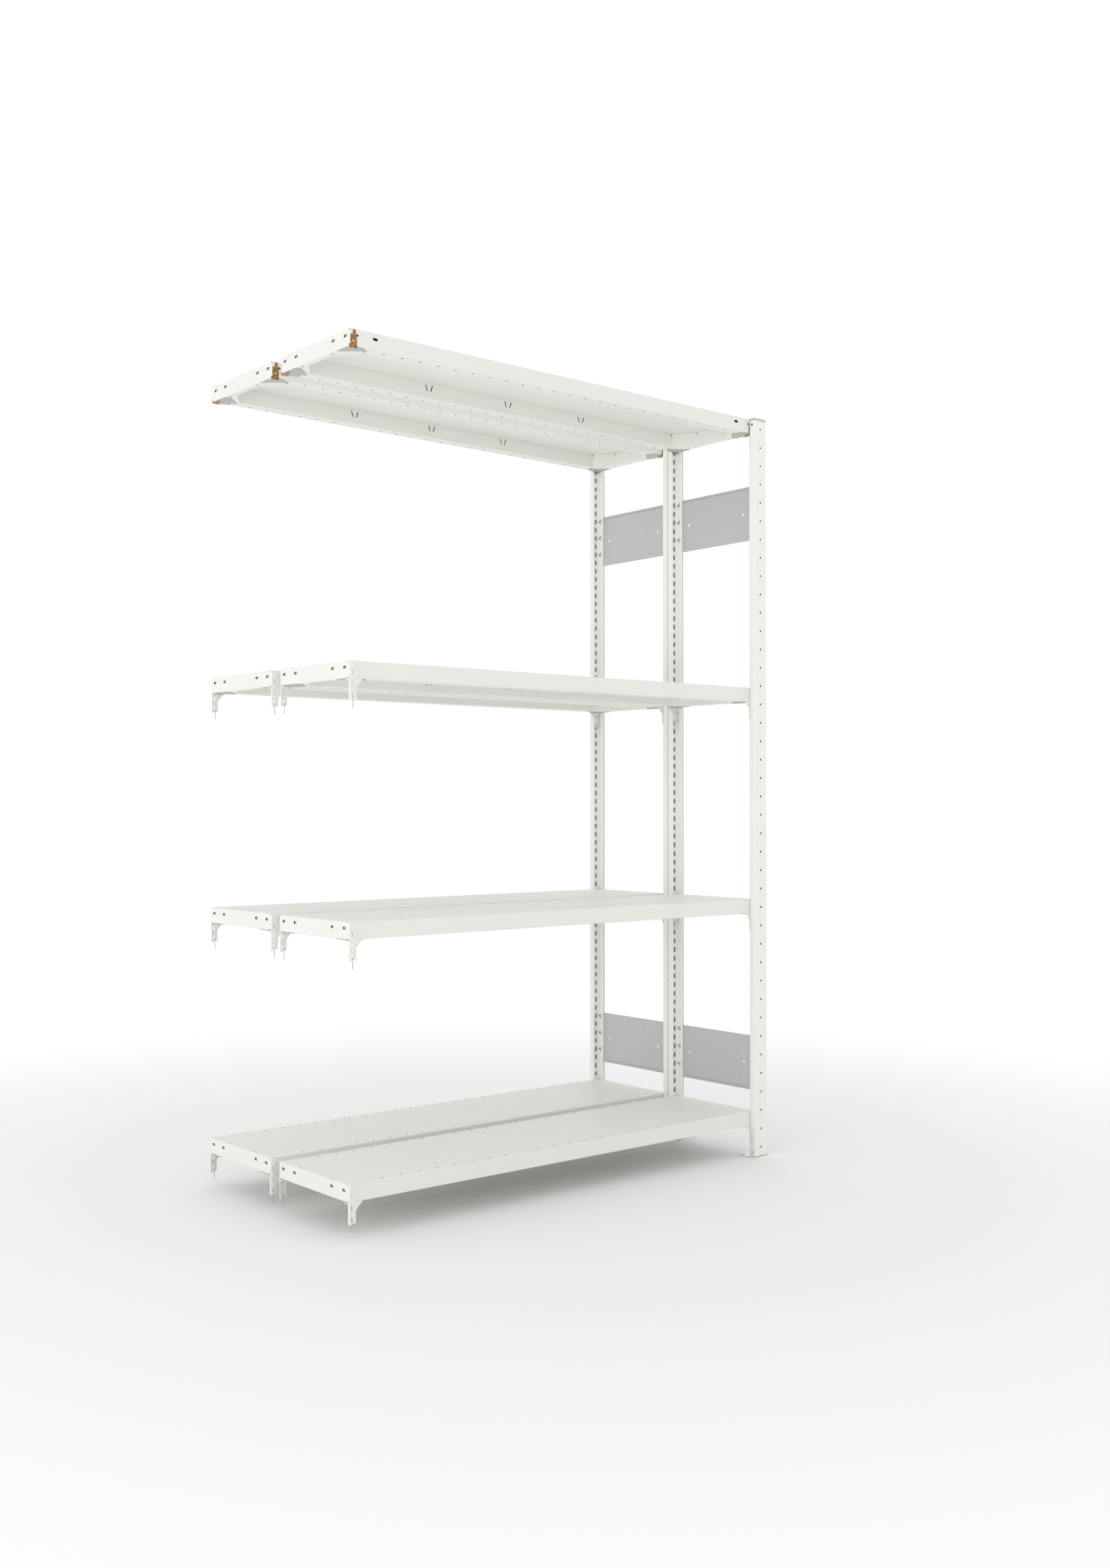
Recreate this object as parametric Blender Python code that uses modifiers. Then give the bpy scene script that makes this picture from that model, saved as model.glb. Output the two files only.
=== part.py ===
"""Add-on bay of a double-sided boltless shelving unit, in metres, +Z up.

Two racks stand back to back and share the plane Y = 0. Each rack has one end frame at +X: two T-section
posts, joined by an upper and a lower panel. Four shelves hang from each frame. Their other ends, at -X,
are free: they hook into the frame of the next bay. X = 0 is the middle of the unit's length and Z = 0 is
the floor. The front rack is at -Y and the back rack is the same, turned about Z and mirrored to keep its
frame at +X.
"""

import math

import bmesh
import bpy
from mathutils import Matrix, Vector

CLEARANCE = 0.0003  # between pieces that touch

# Posts: a box-shaped flange with a narrow neck behind it, folded from one sheet.
POST_WIDTH = 0.0474
FLANGE_DEPTH = 0.018
NECK_WIDTH = 0.0078
POST_DEPTH = 0.038
POST_SHEET = 0.0015
POST_TOP = 1.998
SLOT_PITCH = 0.025
SLOT_FIRST = 0.0125
SLOT_COUNT = 80
SLOT_HEIGHT = 0.015
SLOT_WIDTH = 0.005
SLOT_INSET = 0.0094  # from the post's side to the middle of a slot

# Racks and frames
FRAME_DEPTH = 0.338
RACK_GAP = 0.0024
UNIT_HEIGHT = 2.005
PLATE_OVERHANG = 0.012
PLATE_SETBACK = 0.005
PLATE_DEPTH = 0.047
PLATE_THICKNESS = 0.002
PLATE_HOLE_RADIUS = 0.0055
PLATE_HOLE_INSET = (0.0096, 0.0092)  # from the plate's side and from its inner edge
CAP_PLUG_DEPTH = 0.006

# Panels
PANEL_HEIGHT = 0.148
PANEL_LOWER_EDGE = 0.175
PANEL_SHEET = 0.0012
PANEL_IN_NECK = 0.012
PANEL_HEM = 0.005
PANEL_HOLE_RADIUS = 0.0035
PANEL_HOLE_SPACING = 0.211

# Shelves
SHELF_LENGTH = 1.2985  # over the end flanges of its brackets
SHELF_END_GAP = 0.0006  # from those flanges to the neck of a post
TRAY_HEIGHT = 0.039
TRAY_SHEET = 0.0012
TRAY_LIP = (0.017, 0.038)  # how far the lips reach in, from an end and from a long edge
TRAY_CORNER = (0.057, 0.097)  # where a corner's diagonal return starts and ends, from the same edges
TRAY_RETURN_GAP = 0.0012  # from the top of the returns to the underside of the top sheet
EDGE_SLOT_SIZE = (0.014, 0.006)
EDGE_SLOT_DEPTH = 0.014  # below the top of the tray
END_SLOT_INSETS = (0.0185, 0.0685)
SIDE_SLOT_INSET = 0.067  # on the long edges of the top shelves only
LEVELS = {"top": 2.0045, "upper": 1.2715, "middle": 0.6965, "bottom": 0.1215}

# Brackets and clips, in a corner's own frame: along the shelf, and down from its top
BRACKET_SHEET = 0.0015
BRACKET_OUTLINE = (
    (0.0, 0.0),
    (0.020, 0.0),
    (0.020, 0.038),
    (0.036, 0.038),
    (0.036, 0.040),
    (0.020, 0.057),
    (0.020, 0.085),
    (0.006, 0.085),
    (0.006, 0.0875),
    (0.0, 0.0875),
)
BRACKET_FLANGE = 0.008
BRACKET_LEDGE = (0.020, 0.015)
BRACKET_SLIT = (0.002, 0.010)
BRACKET_SLIT_TILT = 8.0  # degrees
CLIP_OUTLINE = (
    (0.0, 0.013),
    (0.009, 0.013),
    (0.009, 0.002),
    (0.016, 0.002),
    (0.016, 0.013),
    (0.019, 0.013),
    (0.019, 0.042),
    (0.0, 0.042),
)
CLIP_LEDGE = (0.021, 0.030)
LEDGE_DROP = 0.0018  # room between a tray and a ledge for the corner plate
HOOK_WIDTH = 0.002
HOOK_REACH = 0.0045
HOOK_NECK = 0.005
HOOK_DROP = 0.0045
BRACKET_HOOKS = (0.0137, 0.0387, 0.0637)
CLIP_HOOKS = (0.0217,)

# Where things are
BAY_HALF = (SHELF_LENGTH + SHELF_END_GAP + (POST_WIDTH + NECK_WIDTH) / 2 + PLATE_OVERHANG) / 2
POST_CENTRE_X = BAY_HALF - PLATE_OVERHANG - POST_WIDTH / 2
SHELF_RIGHT = POST_CENTRE_X - NECK_WIDTH / 2 - SHELF_END_GAP
SHELF_LEFT = SHELF_RIGHT - SHELF_LENGTH
FACE_INSET = FLANGE_DEPTH + CLEARANCE + BRACKET_SHEET + CLEARANCE  # from a rack's face to a tray's side
TRAY_INSET = BRACKET_SHEET + CLEARANCE  # from the end of the shelf to the end of its tray
TRAY_DEPTH = FRAME_DEPTH - 2 * FACE_INSET
HOOK_ALONG = SHELF_RIGHT - (POST_CENTRE_X - POST_WIDTH / 2 + SLOT_INSET)

WHITE = ("white_powder_coat", (0.80, 0.80, 0.77), 0.45, 0.0)
GALVANISED = ("galvanised_sheet", (0.50, 0.50, 0.50), 0.40, 0.9)
BRASS = ("yellow_zinc", (0.55, 0.30, 0.09), 0.35, 0.9)
BRIGHT = ("bright_zinc", (0.75, 0.75, 0.76), 0.30, 0.9)
GREY_PLASTIC = ("grey_plastic", (0.58, 0.58, 0.59), 0.50, 0.0)


def clear_scene():
    for obj in list(bpy.data.objects):
        bpy.data.objects.remove(obj, do_unlink=True)
    for collection in list(bpy.data.collections):
        bpy.data.collections.remove(collection)


def new_collection(name):
    collection = bpy.data.collections.new(name)
    bpy.context.scene.collection.children.link(collection)
    return collection


def material(spec):
    """The Principled material of a finish, made once."""
    name, colour, roughness, metallic = spec
    found = bpy.data.materials.get(name)
    if found:
        return found
    made = bpy.data.materials.new(name)
    made.use_nodes = True
    shader = made.node_tree.nodes["Principled BSDF"]
    shader.inputs["Base Color"].default_value = (*colour, 1.0)
    shader.inputs["Roughness"].default_value = roughness
    shader.inputs["Metallic"].default_value = metallic
    return made


def place(name, mesh, collection, location=(0.0, 0.0, 0.0), turn=0.0):
    """An object of its own at a place, turned about Z."""
    obj = bpy.data.objects.new(name, mesh)
    obj.location = location
    obj.rotation_euler = (0.0, 0.0, turn)
    collection.objects.link(obj)
    return obj


def finish(mesh, spec):
    mesh.materials.clear()
    mesh.materials.append(material(spec))
    return mesh


def box_mesh(name, low, high):
    low, high = Vector(low), Vector(high)
    size = high - low
    bm = bmesh.new()
    bmesh.ops.create_cube(
        bm, size=1.0, matrix=Matrix.Translation((low + high) / 2) @ Matrix.Diagonal((*size, 1.0))
    )
    mesh = bpy.data.meshes.new(name)
    bm.to_mesh(mesh)
    bm.free()
    return mesh


def boxes_mesh(name, boxes):
    """One mesh that holds several separate boxes, for cutting a row of holes at once."""
    bm = bmesh.new()
    for low, high in boxes:
        low, high = Vector(low), Vector(high)
        at = Matrix.Translation((low + high) / 2)
        bmesh.ops.create_cube(bm, size=1.0, matrix=at @ Matrix.Diagonal((*(high - low), 1.0)))
    mesh = bpy.data.meshes.new(name)
    bm.to_mesh(mesh)
    bm.free()
    return mesh


def drills_mesh(name, centres, radius, length, axis):
    """Round cutters of 16 sides along an axis, all in one mesh."""
    bm = bmesh.new()
    towards = Vector((0.0, 0.0, 1.0)).rotation_difference(Vector(axis)).to_matrix().to_4x4()
    for centre in centres:
        bmesh.ops.create_cone(
            bm,
            cap_ends=True,
            segments=16,
            radius1=radius,
            radius2=radius,
            depth=length,
            matrix=Matrix.Translation(centre) @ towards,
        )
    mesh = bpy.data.meshes.new(name)
    bm.to_mesh(mesh)
    bm.free()
    return mesh


def evaluated_mesh(obj):
    """The object's mesh with its modifiers applied, welded, and the object itself removed."""
    graph = bpy.context.evaluated_depsgraph_get()
    mesh = bpy.data.meshes.new_from_object(obj.evaluated_get(graph))
    mesh.transform(obj.matrix_world)
    bm = bmesh.new()
    bm.from_mesh(mesh)
    bmesh.ops.remove_doubles(bm, verts=bm.verts, dist=1e-6)
    bmesh.ops.recalc_face_normals(bm, faces=bm.faces)
    bm.to_mesh(mesh)
    bm.free()
    bpy.data.objects.remove(obj, do_unlink=True)
    return mesh


def outline_mesh(name, points, thickness, collection):
    """A flat outline in the XY plane, extruded by its thickness about Z = 0."""
    curve = bpy.data.curves.new(name, "CURVE")
    curve.dimensions = "2D"
    curve.fill_mode = "BOTH"
    curve.extrude = thickness / 2
    spline = curve.splines.new("POLY")
    spline.points.add(len(points) - 1)
    for point, (x, y) in zip(spline.points, points):
        point.co = (x, y, 0.0, 1.0)
    spline.use_cyclic_u = True
    return evaluated_mesh(place(name, curve, collection))


def combine(mesh, others, operation, collection):
    """The mesh after Booleans with the other meshes."""
    base = place("base", mesh, collection)
    helpers = []
    for other in others:
        helper = place("cutter", other, collection)
        helper.hide_render = True
        helper.display_type = "WIRE"
        helpers.append(helper)
        modifier = base.modifiers.new(operation.lower(), "BOOLEAN")
        modifier.operation = operation
        modifier.object = helper
        modifier.solver = "EXACT"
    made = evaluated_mesh(base)
    for helper in helpers:
        bpy.data.objects.remove(helper, do_unlink=True)
    return made


def post_mesh(slot_side, tools):
    """A post about its own centre line: its face at Y = 0, its neck towards +Y, its slots on one side."""
    half = (POST_WIDTH - POST_SHEET) / 2
    neck = (NECK_WIDTH - POST_SHEET) / 2
    front = POST_SHEET / 2
    back = FLANGE_DEPTH - POST_SHEET / 2
    left = [(-neck, POST_DEPTH), (-neck, back), (-half, back), (-half, front)]
    path = left + [(-x, y) for x, y in reversed(left)]
    bm = bmesh.new()
    verts = [bm.verts.new((x, y, PLATE_THICKNESS + CLEARANCE)) for x, y in path]
    edges = [bm.edges.new(pair) for pair in zip(verts, verts[1:])]
    raised = bmesh.ops.extrude_edge_only(bm, edges=edges)["geom"]
    top = [item for item in raised if isinstance(item, bmesh.types.BMVert)]
    bmesh.ops.translate(bm, verts=top, vec=(0.0, 0.0, POST_TOP - PLATE_THICKNESS - CLEARANCE))
    bmesh.ops.recalc_face_normals(bm, faces=bm.faces)
    mesh = bpy.data.meshes.new("post_sheet")
    bm.to_mesh(mesh)
    bm.free()
    sheet = place("post_sheet", mesh, tools)
    solidify = sheet.modifiers.new("sheet", "SOLIDIFY")
    solidify.thickness = POST_SHEET
    solidify.offset = 0.0
    solidify.use_even_offset = True
    solid = evaluated_mesh(sheet)
    middle = slot_side * (POST_WIDTH / 2 - SLOT_INSET)
    slots = []
    for index in range(SLOT_COUNT):
        height = SLOT_FIRST + index * SLOT_PITCH
        slots.append(
            (
                (middle - SLOT_WIDTH / 2, FLANGE_DEPTH - 2 * POST_SHEET, height - SLOT_HEIGHT / 2),
                (middle + SLOT_WIDTH / 2, FLANGE_DEPTH + POST_SHEET, height + SLOT_HEIGHT / 2),
            )
        )
    return finish(combine(solid, [boxes_mesh("slots", slots)], "DIFFERENCE", tools), WHITE)


def cap_mesh(tools):
    """A T-shaped cap that closes the top of a post, with a plug inside its flange."""
    half, neck = POST_WIDTH / 2, NECK_WIDTH / 2
    outline = [(-half, 0.0), (half, 0.0), (half, FLANGE_DEPTH), (neck, FLANGE_DEPTH)]
    outline += [(neck, POST_DEPTH), (-neck, POST_DEPTH), (-neck, FLANGE_DEPTH), (-half, FLANGE_DEPTH)]
    height = UNIT_HEIGHT - POST_TOP - CLEARANCE
    plate = outline_mesh("cap", outline, height, tools)
    plate.transform(Matrix.Translation((0.0, 0.0, UNIT_HEIGHT - height / 2)))
    wall = POST_SHEET + CLEARANCE
    plug = box_mesh(
        "plug",
        (-half + wall, wall, POST_TOP - CAP_PLUG_DEPTH),
        (half - wall, FLANGE_DEPTH - wall, UNIT_HEIGHT - height / 2),
    )
    return finish(combine(plate, [plug], "UNION", tools), GREY_PLASTIC)


def foot_plate_mesh(tools):
    """The plate under a post, with a fixing hole on each side of the neck."""
    half = POST_WIDTH / 2 + PLATE_OVERHANG
    inner = PLATE_SETBACK + PLATE_DEPTH
    plate = box_mesh("plate", (-half, PLATE_SETBACK, 0.0), (half, inner, PLATE_THICKNESS))
    across = half - PLATE_HOLE_INSET[0]
    along = inner - PLATE_HOLE_INSET[1]
    centres = [(side * across, along, PLATE_THICKNESS / 2) for side in (-1, 1)]
    holes = drills_mesh("holes", centres, PLATE_HOLE_RADIUS, 3 * PLATE_THICKNESS, (0, 0, 1))
    return finish(combine(plate, [holes], "DIFFERENCE", tools), BRIGHT)


def panel_mesh(hem_side, tools):
    """A panel about the middle of its frame, standing in the YZ plane, with a hem along one long edge."""
    half_height, half_sheet = PANEL_HEIGHT / 2, PANEL_SHEET / 2
    half_depth = FRAME_DEPTH / 2 - POST_DEPTH + PANEL_IN_NECK
    clear_depth = FRAME_DEPTH / 2 - POST_DEPTH - CLEARANCE
    sheet = box_mesh(
        "sheet", (-half_sheet, -half_depth, -half_height), (half_sheet, half_depth, half_height)
    )
    edges = sorted((hem_side * half_height, hem_side * (half_height - PANEL_HEM)))
    hem = box_mesh(
        "hem", (-3 * half_sheet, -clear_depth, edges[0]), (half_sheet / 2, clear_depth, edges[1])
    )
    joined = combine(sheet, [hem], "UNION", tools)
    centres = [(0.0, side * PANEL_HOLE_SPACING / 2, 0.0) for side in (-1, 1)]
    holes = drills_mesh("holes", centres, PANEL_HOLE_RADIUS, 6 * PANEL_SHEET, (1, 0, 0))
    return finish(combine(joined, [holes], "DIFFERENCE", tools), GALVANISED)


def tray_mesh(side_slots, tools):
    """A shelf folded from one sheet, about the middle of its top: down, inwards, and up round its mouth."""
    half_x = SHELF_LENGTH / 2 - TRAY_INSET
    half_y = TRAY_DEPTH / 2
    bm = bmesh.new()
    corners = ((1, 1), (-1, 1), (-1, -1), (1, -1))
    top = [bm.verts.new((sx * half_x, sy * half_y, 0.0)) for sx, sy in corners]
    foot = [bm.verts.new((sx * half_x, sy * half_y, -TRAY_HEIGHT)) for sx, sy in corners]
    mouth = []
    for sx, sy in corners:
        at_long_edge = (sx * (half_x - TRAY_CORNER[0]), sy * (half_y - TRAY_LIP[1]), -TRAY_HEIGHT)
        at_end = (sx * (half_x - TRAY_LIP[0]), sy * (half_y - TRAY_CORNER[1]), -TRAY_HEIGHT)
        pair = (at_end, at_long_edge) if sx == sy else (at_long_edge, at_end)
        mouth.append([bm.verts.new(point) for point in pair])
    bm.faces.new(top)
    for index, (first, last) in enumerate(mouth):
        following = (index + 1) % 4
        bm.faces.new((top[index], foot[index], foot[following], top[following]))
        bm.faces.new((foot[index], last, mouth[following][0], foot[following]))
        bm.faces.new((foot[index], first, last))
    rim = [vert for pair in mouth for vert in pair]
    height = TRAY_HEIGHT - TRAY_SHEET - TRAY_RETURN_GAP
    risen = [bm.verts.new(vert.co + Vector((0.0, 0.0, height))) for vert in rim]
    for index in range(8):
        following = (index + 1) % 8
        bm.faces.new((rim[index], risen[index], risen[following], rim[following]))
    mesh = bpy.data.meshes.new("tray_sheet")
    bm.to_mesh(mesh)
    bm.free()
    folded = place("tray_sheet", mesh, tools)
    solidify = folded.modifiers.new("sheet", "SOLIDIFY")
    solidify.thickness = TRAY_SHEET
    solidify.offset = -1.0
    solidify.use_even_offset = True
    body = evaluated_mesh(folded)
    long, tall = EDGE_SLOT_SIZE[0] / 2, EDGE_SLOT_SIZE[1] / 2
    through = 3 * TRAY_SHEET
    slots = []
    for inset in END_SLOT_INSETS:
        for sx, sy in corners:
            x, y, z = sx * half_x, sy * (half_y - inset), -EDGE_SLOT_DEPTH
            slots.append(((x - through, y - long, z - tall), (x + through, y + long, z + tall)))
    for sx, sy in corners if side_slots else ():
        x, y, z = sx * (half_x - SIDE_SLOT_INSET), sy * half_y, -EDGE_SLOT_DEPTH
        slots.append(((x - long, y - through, z - tall), (x + long, y + through, z + tall)))
    return finish(combine(body, [boxes_mesh("slots", slots)], "DIFFERENCE", tools), WHITE)


def hook_mesh(along, depth, sheet):
    """A hook that leaves a bracket's outer face, at -Y, and turns down behind the slot's lower edge."""
    half = HOOK_WIDTH / 2
    tip = -sheet - HOOK_REACH
    neck = (
        (along - half, tip, -depth - HOOK_NECK / 2),
        (along + half, -sheet / 2, -depth + HOOK_NECK / 2),
    )
    drop = (
        (along - half, tip, -depth - HOOK_NECK / 2 - HOOK_DROP),
        (along + half, tip + HOOK_WIDTH, -depth),
    )
    return [box_mesh("neck", *neck), box_mesh("drop", *drop)]


def ledge_mesh(size):
    """A ledge that carries a shelf's corner, under the corner plate that lies between them."""
    top = -TRAY_HEIGHT - LEDGE_DROP
    return box_mesh("ledge", (0.0, -BRACKET_SHEET / 2, top - BRACKET_SHEET), (*size, top))


def slit_mesh(depth):
    """A cutter for the slit that a hook leaves in its bracket."""
    wide, tall = BRACKET_SLIT
    mesh = box_mesh("slit", (-wide / 2, -3 * BRACKET_SHEET, -tall / 2), (wide / 2, 3 * BRACKET_SHEET, tall / 2))
    middle = -depth - HOOK_NECK / 2 - CLEARANCE - tall / 2
    tilt = Matrix.Rotation(math.radians(BRACKET_SLIT_TILT), 4, "Y")
    mesh.transform(Matrix.Translation((HOOK_ALONG, 0.0, middle)) @ tilt)
    return mesh


def corner_mesh(outline, hooks, extras, cuts, spec, tools):
    """A bracket or clip at a shelf's -X end and front side: X along the shelf, its inner face at Y = 0."""
    points = [(x, -depth) for x, depth in outline]
    plate = outline_mesh("plate", points, BRACKET_SHEET, tools)
    plate.transform(Matrix.Translation((0.0, -BRACKET_SHEET / 2, 0.0)) @ Matrix.Rotation(math.pi / 2, 4, "X"))
    for cut in cuts:
        plate = combine(plate, [cut], "DIFFERENCE", tools)
    parts = list(extras)
    for depth in hooks:
        parts += hook_mesh(HOOK_ALONG, depth, BRACKET_SHEET)
    for part in parts:
        plate = combine(plate, [part], "UNION", tools)
    return finish(plate, spec)


def mirrored(mesh):
    """The mesh mirrored in X, with its faces still pointing out."""
    other = mesh.copy()
    other.transform(Matrix.Diagonal((-1.0, 1.0, 1.0, 1.0)))
    other.flip_normals()
    return other


def bracket_mesh(tools):
    depth = max(depth for _, depth in BRACKET_OUTLINE)
    flange = box_mesh(
        "flange", (0.0, -BRACKET_SHEET / 2, -depth), (BRACKET_SHEET, BRACKET_FLANGE, 0.0)
    )
    extras = [flange, ledge_mesh(BRACKET_LEDGE)]
    slits = [slit_mesh(depth) for depth in BRACKET_HOOKS]
    return corner_mesh(BRACKET_OUTLINE, BRACKET_HOOKS, extras, slits, WHITE, tools)


def clip_mesh(tools):
    return corner_mesh(CLIP_OUTLINE, CLIP_HOOKS, [ledge_mesh(CLIP_LEDGE)], [], BRASS, tools)


def add_frame(rack, side, meshes, unit):
    """A rack's posts, caps, foot plates and panels. Side is -1 for the front rack and 1 for the back one."""
    aisle = side * (FRAME_DEPTH + RACK_GAP / 2)
    inner = side * RACK_GAP / 2
    for post, y, faces_front in (("aisle", aisle, side < 0), ("inner", inner, side > 0)):
        turn = 0.0 if faces_front else math.pi
        at = (POST_CENTRE_X, y, 0.0)
        slotted = meshes["post_left"] if faces_front else meshes["post_right"]
        place(f"{rack}_{post}_post", slotted, unit, at, turn)
        place(f"{rack}_{post}_post_cap", meshes["cap"], unit, at, turn)
        place(f"{rack}_{post}_foot_plate", meshes["foot_plate"], unit, at, turn)
    middle = (aisle + inner) / 2
    lower = PANEL_LOWER_EDGE + PANEL_HEIGHT / 2
    place(f"{rack}_lower_panel", meshes["panel_low"], unit, (POST_CENTRE_X, middle, lower))
    place(f"{rack}_upper_panel", meshes["panel_high"], unit, (POST_CENTRE_X, middle, 2.0 - lower))


def add_shelf(rack, side, level, top, meshes, unit):
    """A shelf and what holds its four corners, each named for its end and its side."""
    middle_x = (SHELF_LEFT + SHELF_RIGHT) / 2
    middle_y = side * (FRAME_DEPTH + RACK_GAP) / 2
    kind = "clip" if level == "top" else "bracket"
    place(f"{rack}_{level}_shelf", meshes["tray_on_" + kind], unit, (middle_x, middle_y, top))
    half_x = SHELF_LENGTH / 2
    half_y = TRAY_DEPTH / 2 + CLEARANCE
    for end, along in (("free", -1), ("frame", 1)):
        for face, across in (("aisle", side), ("inner", -side)):
            turn = 0.0 if across < 0 else math.pi
            mesh = meshes[kind] if along == across else meshes[kind + "_mirrored"]
            at = (middle_x + along * half_x, middle_y + across * half_y, top)
            place(f"{rack}_{level}_{kind}_{end}_{face}", mesh, unit, at, turn)


def build():
    clear_scene()
    unit = new_collection("shelving_bay")
    tools = new_collection("cutters")
    meshes = {
        "post_left": post_mesh(-1, tools),
        "post_right": post_mesh(1, tools),
        "cap": cap_mesh(tools),
        "foot_plate": foot_plate_mesh(tools),
        "panel_low": panel_mesh(-1, tools),
        "panel_high": panel_mesh(1, tools),
        "tray_on_bracket": tray_mesh(False, tools),
        "tray_on_clip": tray_mesh(True, tools),
        "bracket": bracket_mesh(tools),
        "clip": clip_mesh(tools),
    }
    meshes["bracket_mirrored"] = mirrored(meshes["bracket"])
    meshes["clip_mirrored"] = mirrored(meshes["clip"])
    for rack, side in (("front", -1), ("back", 1)):
        add_frame(rack, side, meshes, unit)
        for level, top in LEVELS.items():
            add_shelf(rack, side, level, top, meshes, unit)


build()
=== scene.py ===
"""Looks of the add-on shelving bay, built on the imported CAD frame. Lengths are in metres.

Every CAD node is rebuilt in its own place, with its bends, holes and slots, by a piece that stands for it.
The wire pins, the plates under the shelves' corners and the strips inside their ends have no CAD node.
"""

import math

import bmesh
import bpy
from mathutils import Matrix, Vector


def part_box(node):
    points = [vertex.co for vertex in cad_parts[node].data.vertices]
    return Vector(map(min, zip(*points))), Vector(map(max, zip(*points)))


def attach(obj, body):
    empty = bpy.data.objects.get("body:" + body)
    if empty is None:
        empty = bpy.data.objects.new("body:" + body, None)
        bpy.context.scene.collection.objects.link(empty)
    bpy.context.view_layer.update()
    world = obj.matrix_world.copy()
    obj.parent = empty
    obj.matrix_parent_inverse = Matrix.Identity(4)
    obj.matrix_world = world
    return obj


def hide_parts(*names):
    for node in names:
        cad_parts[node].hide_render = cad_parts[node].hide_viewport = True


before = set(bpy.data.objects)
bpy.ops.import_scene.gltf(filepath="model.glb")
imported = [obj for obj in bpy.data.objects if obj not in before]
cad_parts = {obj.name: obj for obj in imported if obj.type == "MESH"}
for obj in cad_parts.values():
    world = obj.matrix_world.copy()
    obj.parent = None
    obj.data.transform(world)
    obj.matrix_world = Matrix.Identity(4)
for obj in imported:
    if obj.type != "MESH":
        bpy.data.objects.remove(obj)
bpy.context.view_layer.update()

RACKS = {"front": -1, "back": 1}
LEVELS = ("top", "upper", "middle", "bottom")
FRAME_BODY = "end_frames"
POST_PAINT = (0.885, 0.885, 0.840)
SHELF_PAINT = (0.825, 0.825, 0.782)

# Posts
POST_SHEET = 0.0015
POST_FLANGE_DEPTH = 0.018
POST_NECK_WIDTH = 0.0078
POST_BEND = 0.0024
SLOT_PITCH = 0.025
SLOT_SIZE = (0.0074, 0.0155)
SLOT_FIRST = 0.0125
SLOT_COUNT = 80
SLOT_INSET = 0.0094
FACE_HOLE_RADIUS = 0.0033
FACE_HOLE_FIRST = 0.0255
FACE_HOLE_PITCH = 0.05
FACE_HOLE_COUNT = 40
SIDE_HOLE_RADIUS = 0.0036
SIDE_HOLE_HEIGHTS = (0.013, 1.987)
NOTCH_HEIGHTS = (0.2125, 0.2625, 0.3125, 1.7125, 1.7625, 1.8125)
NOTCH_DEPTH = 0.0285
NOTCH_SIZE = (0.0052, 0.0140)
NOTCH_STEM = (0.0120, 0.0048)
NOTCH_STEM_SHIFT = 0.0045
NECK_LIP_GAP = 0.0018

# Caps, foot plates and panels
HOLE_CUT = 0.02
CAP_GAP = 0.0003
CAP_CORNER = 0.0022
CAP_EDGE = 0.0009
FOOT_FROM_FACE = 0.005
FOOT_CORNER = 0.003
FOOT_EDGE = 0.0003
FOOT_HOLE_INSET = (0.0096, 0.0092)
FOOT_HOLE_RADIUS = 0.0055
PANEL_SHEET = 0.0012
PANEL_BEND = 0.0011
PANEL_HEM = 0.0052
PANEL_HOLE_OFFSET = 0.1055
PANEL_HOLE_RADIUS = 0.0035

# Shelves
TRAY_SHEET = 0.0008
TRAY_BEND = 0.0016
TRAY_LIP = (0.017, 0.038)
TRAY_CORNER = (0.057, 0.097)
TRAY_RETURN_GAP = 0.0001
ROW_PITCH = 0.05
ROW_HALF_COUNT = 11
ROW_INSET_TOP = 0.0135
ROW_INSET_LIP = 0.012
ROW_HOLE = (0.0070, 0.0068)
END_HOLE_OFFSET = 0.065
END_HOLE_INSET = 0.0085
EDGE_SLOT = (0.014, 0.0065)
EDGE_SLOT_DEPTH = 0.014
END_SLOT_INSETS = (0.0185, 0.0685)
SIDE_SLOT_INSET = 0.067
EDGE_HOLE_INSET = 0.0205
EDGE_HOLE_RADIUS = 0.0026
VEE_SPACING = 0.25
VEE_SIZE = (0.0030, 0.0165)
VEE_OFFSET = 0.0078
VEE_TILT = 19.0
VEE_DEPTH = 0.0135
RELIEF_RADIUS = 0.0017
RELIEF_INSET = (0.0022, 0.0024)
FOOT_RELIEF_RADIUS = 0.0027
FOOT_RELIEF_INSET = 0.001
FOOT_RELIEF_HEIGHT = 0.009
CREASE_HOLE_RADIUS = 0.0014
CREASE_HOLE_DEPTH = 0.0041
CREASE_HOLE_HEIGHT = 0.0055

# Brackets and clips, in a corner's own frame: along the shelf, and down from its top
FACE_GAP = 0.0003
CORNER_CUT = 0.01
SMALL_EDGE = 0.0002
BRACKET_SHEET = 0.0015
BRACKET_OUTLINE = (
    (0.0024, 0.0),
    (0.020, 0.0),
    (0.020, 0.038),
    (0.036, 0.038),
    (0.036, 0.040),
    (0.020, 0.057),
    (0.020, 0.085),
    (0.0095, 0.085),
    (0.008, 0.0875),
    (0.0024, 0.0875),
)
BRACKET_FILLET = 0.0022
BRACKET_BEND = 0.0018
BRACKET_FLANGE = 0.003
BRACKET_FLANGE_RISE = 0.003
BRACKET_HOOKS = (0.0137, 0.0387, 0.0637)
SLIT_DROP = 0.0131
SLIT_SIZE = (0.0036, 0.0115)
SLIT_TILT = 8.0
CLIP_FILLET = 0.0014
CLIP_OUTLINE = (
    (0.0030, 0.0135),
    (0.0098, 0.0125),
    (0.0102, 0.0020),
    (0.0160, 0.0020),
    (0.0166, 0.0125),
    (0.0190, 0.0135),
    (0.0190, 0.0420),
    (0.0030, 0.0420),
)
CLIP_WINDOW_AT = (0.0112, 0.0245)
CLIP_WINDOW_FILLET = 0.0022
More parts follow.
